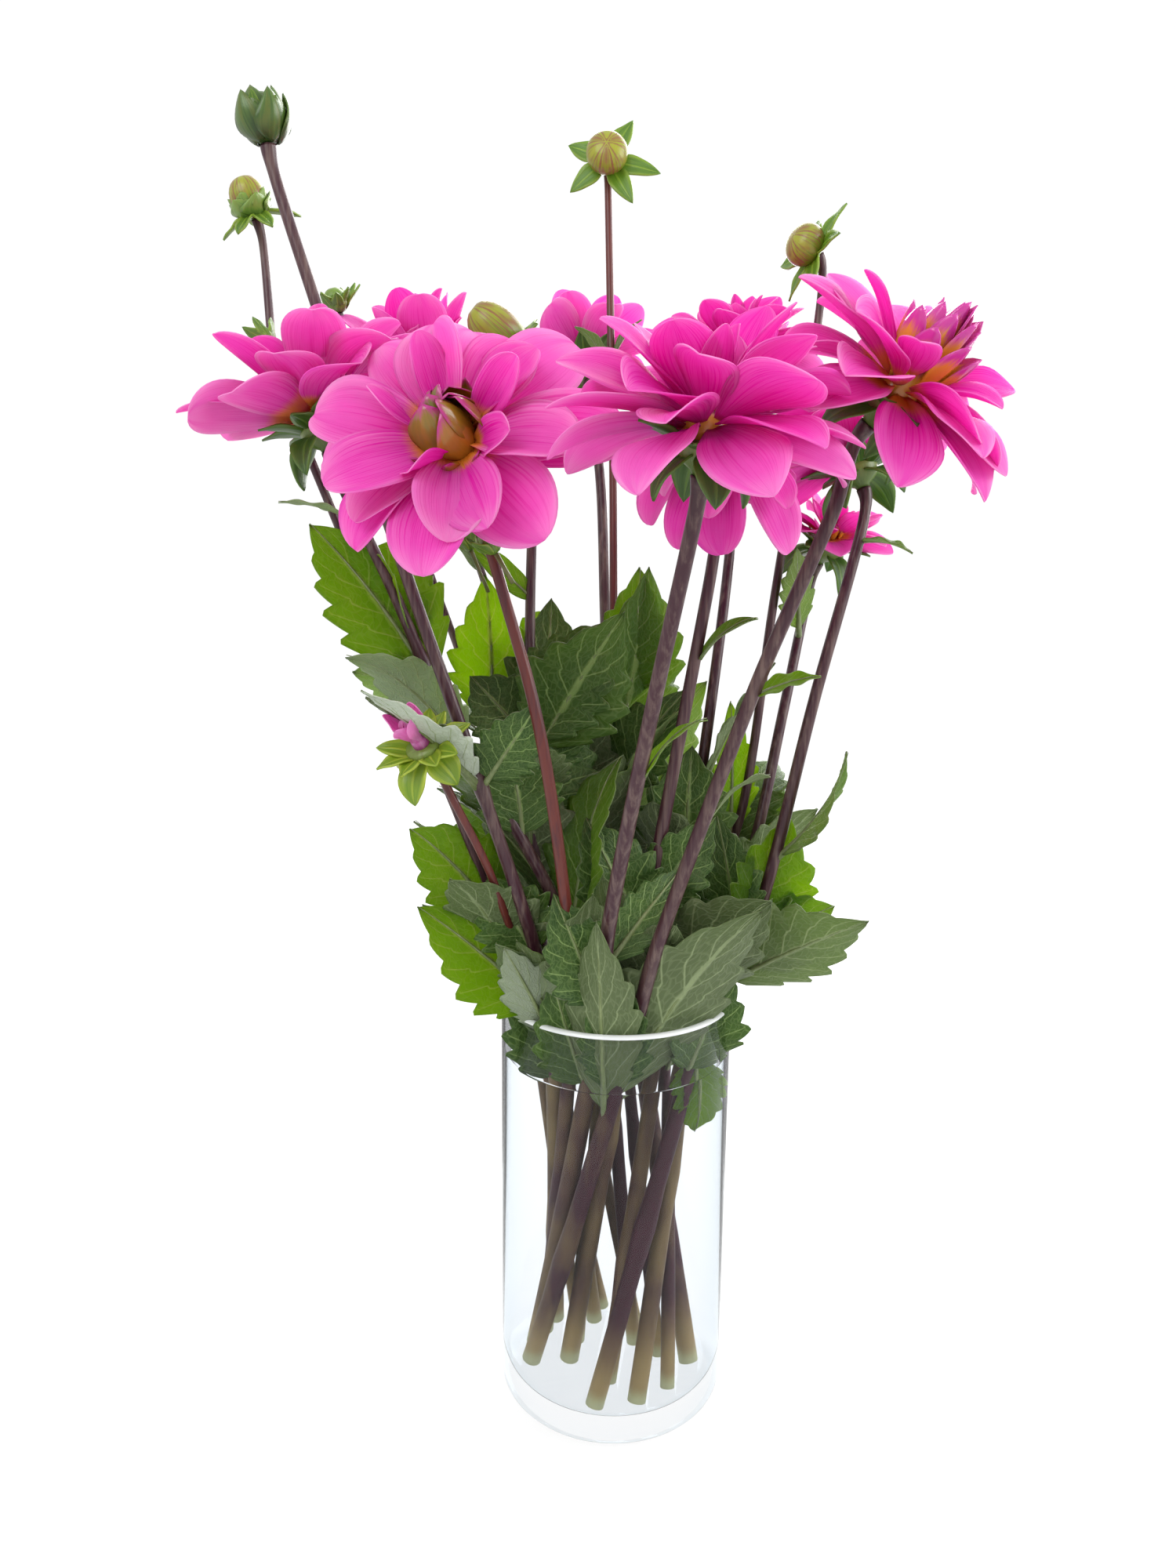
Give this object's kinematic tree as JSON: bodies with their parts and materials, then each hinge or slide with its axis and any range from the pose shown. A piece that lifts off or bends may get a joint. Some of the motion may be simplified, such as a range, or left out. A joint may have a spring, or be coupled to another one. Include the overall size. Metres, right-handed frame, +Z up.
{
  "type": "jar of cut dahlias",
  "caption": "Clear glass jar of water holding a loose bunch of cut pink dahlias, with open blooms, green buds and toothed leaves on long dark stems that spread above the rim.",
  "frame": {"origin": "the middle of the jar's standing face, on the surface it stands on", "axes": "+Z up along the jar's axis, -Y towards the front of the bunch, +X to the right as seen from the front"},
  "size_m": [0.3589, 0.3681, 0.6741],
  "materials": {
    "glass": "clear polished glass",
    "water": "clear still water",
    "stem": "smooth satin, dark purple brown with a grey bloom, olive under water",
    "petal": "soft velvety, pink to magenta with fine lengthwise veins, orange at the foot",
    "calyx": "satin leafy green",
    "bud": "satin yellow green with a brown purple tinge",
    "leaf": "satin dark green above, dull grey green below, with pale veins"
  },
  "bodies": {
    "root": {"jar": "glass", "water": "water", "stem_front_left": "stem", "stem_left": "stem", "stem_back_left": "stem", "stem_back": "stem", "stem_front": "stem", "stem_middle": "stem", "stem_right": "stem", "stem_back_right": "stem", "stem_hanging": "stem", "stem_small": "stem", "stem_opening": "stem", "stem_tall_bud": "stem", "stem_outer_bud": "stem", "stem_inner_bud": "stem", "stem_high_bud": "stem", "stem_right_bud": "stem", "stem_centre_bud": "stem", "calyx_front_left": "calyx", "calyx_left": "calyx", "calyx_back_left": "calyx", "calyx_back": "calyx", "calyx_front": "calyx", "calyx_middle": "calyx", "calyx_right": "calyx", "calyx_back_right": "calyx", "calyx_hanging": "calyx", "calyx_small": "calyx", "calyx_opening": "calyx", "bloom_front_left": "petal", "bloom_left": "petal", "bloom_back_left": "petal", "bloom_back": "petal", "bloom_front": "petal", "bloom_middle": "petal", "bloom_right": "petal", "bloom_back_right": "petal", "bloom_hanging": "petal", "bloom_small": "petal", "bloom_opening": "petal", "bud_tall_bud": "bud", "bud_outer_bud": "bud", "bud_inner_bud": "bud", "bud_high_bud": "bud", "bud_right_bud": "bud", "bud_centre_bud": "bud", "leaves_1_left": "leaf", "leaves_2_tall_bud": "leaf", "leaves_3_inner_bud": "leaf", "leaves_4_centre_bud": "leaf", "leaves_5_high_bud": "leaf", "leaves_6_outer_bud": "leaf", "leaves_7_opening": "leaf", "leaves_8_front_left": "leaf", "leaves_9_hanging": "leaf", "leaves_10_left": "leaf", "leaves_11_back_right": "leaf", "leaves_12_small": "leaf", "leaves_13_back": "leaf"}
  },
  "joints": []
}
